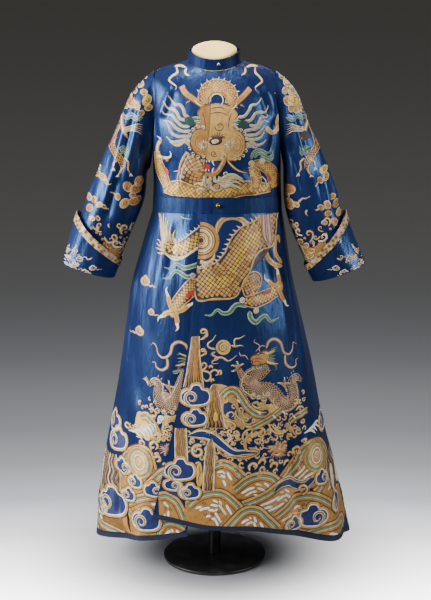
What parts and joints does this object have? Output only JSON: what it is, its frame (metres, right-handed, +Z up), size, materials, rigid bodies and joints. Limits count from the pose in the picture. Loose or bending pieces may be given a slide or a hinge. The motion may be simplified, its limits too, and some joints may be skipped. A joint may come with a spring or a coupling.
{
  "type": "chinese dragon robe on a dress form",
  "caption": "Ankle-length silk robe with lapped front, stand collar, waistband, flared skirt and wide sleeves with turned-back cuffs, standing filled out on a limbless dress form.",
  "frame": {"origin": "centre of the stand base's underside, where it rests", "axes": "+Z up along the pole, -Y towards the robe's front, +X towards the wearer's left"},
  "size_m": [0.832, 0.4879, 1.476],
  "materials": {
    "blue_satin": "lined silk satin with metal-thread embroidery, soft sheen",
    "dark_binding": "plain dark silk binding",
    "gold_brocade": "gold brocade ribbon",
    "form_cover": "smooth cream linen over a moulded form",
    "black_paint": "gloss black enamel",
    "brass": "gilt brass, soft shine",
    "silvered": "silvered button, soft shine"
  },
  "bodies": {
    "root": {"bodice_front_left": "blue_satin", "bodice_front_right": "blue_satin", "bodice_back": "blue_satin", "skirt_front_left": "blue_satin", "skirt_front_right": "blue_satin", "skirt_back": "blue_satin", "sleeve_left": "blue_satin", "sleeve_right": "blue_satin", "cuff_left": "blue_satin", "cuff_right": "blue_satin", "waistband": "blue_satin", "collar": "blue_satin", "hem_binding_left": "dark_binding", "hem_binding_right": "dark_binding", "hem_binding_back": "dark_binding", "cuff_band_left": "gold_brocade", "cuff_band_right": "gold_brocade", "form_torso": "form_cover", "stand_pole": "black_paint", "stand_base": "black_paint", "waist_button": "brass", "collar_button": "silvered"}
  },
  "joints": []
}
